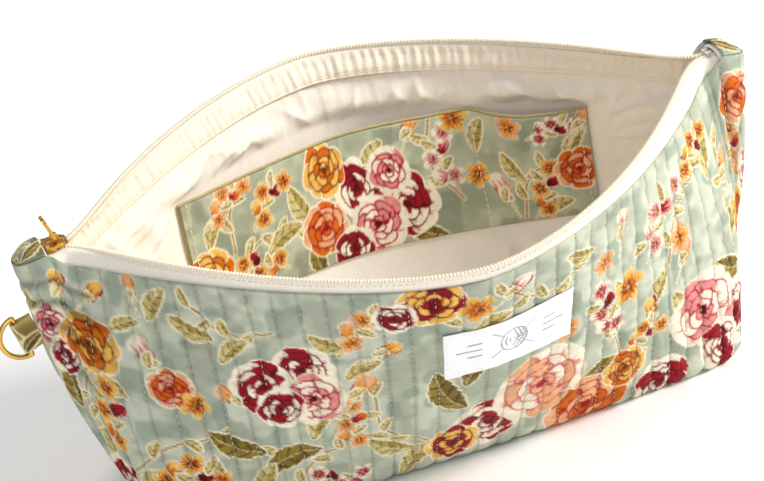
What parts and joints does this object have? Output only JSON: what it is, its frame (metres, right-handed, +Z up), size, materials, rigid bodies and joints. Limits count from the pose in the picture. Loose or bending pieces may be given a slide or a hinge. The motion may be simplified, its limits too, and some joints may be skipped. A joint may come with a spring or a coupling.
{
  "type": "knitting bag",
  "caption": "Boxed quilted floral cotton knitting bag with an open zip top, ivory lining, inner pocket, blank label and side D-ring.",
  "frame": {"origin": "middle of the base's underside, on the surface the bag stands on", "axes": "+X along the bag towards the zip's far end, +Y towards the back, +Z up; the label faces -Y"},
  "size_m": [0.3141, 0.2114, 0.1264],
  "materials": {
    "floral_cotton": "matte",
    "wadding": "matte",
    "lining_cotton": "matte",
    "zip_tape": "matte",
    "zip_coil": "satin",
    "slider_brass": "polished",
    "cover_cotton": "matte",
    "label_tape": "satin",
    "thread": "matte",
    "ring_brass": "polished"
  },
  "bodies": {
    "bag": {"front_panel": "floral_cotton", "back_panel": "floral_cotton", "base_panel": "floral_cotton", "pocket_panel": "floral_cotton", "side_tab": "floral_cotton", "front_wadding": "wadding", "back_wadding": "wadding", "base_wadding": "wadding", "front_lining": "lining_cotton", "back_lining": "lining_cotton", "base_lining": "lining_cotton", "front_facing": "lining_cotton", "back_facing": "lining_cotton", "zip_tape_front": "zip_tape", "zip_tape_back": "zip_tape", "pocket_binding": "zip_tape", "zip_coil_front": "zip_coil", "zip_coil_back": "zip_coil", "zip_top_stops": "zip_coil", "zip_bottom_stop": "slider_brass", "zip_end_cover_left": "cover_cotton", "zip_end_cover_right": "cover_cotton", "label": "label_tape", "label_stitching": "thread", "pocket_divider_stitching": "thread", "pocket_side_stitching": "thread"},
    "slider": {"zip_slider": "slider_brass"},
    "pull": {"zip_pull": "slider_brass"},
    "ring": {"d_ring": "ring_brass"}
  },
  "joints": [
    {"name": "slider_slide", "type": "slide", "parent": "bag", "child": "slider", "axis": [1, 0, 0], "range_m": [0, 0.004]},
    {"name": "pull_swing", "type": "hinge", "parent": "slider", "child": "pull", "pos_m": [-0.1332, 0, 0.11675], "axis": [0, 1, 0], "range_deg": [-70, 110]},
    {"name": "ring_swing", "type": "hinge", "parent": "bag", "child": "ring", "pos_m": [-0.15364, 0, 0.08114], "axis": [-0.2647, 0, 0.9643], "range_deg": [-85, 85]}
  ]
}
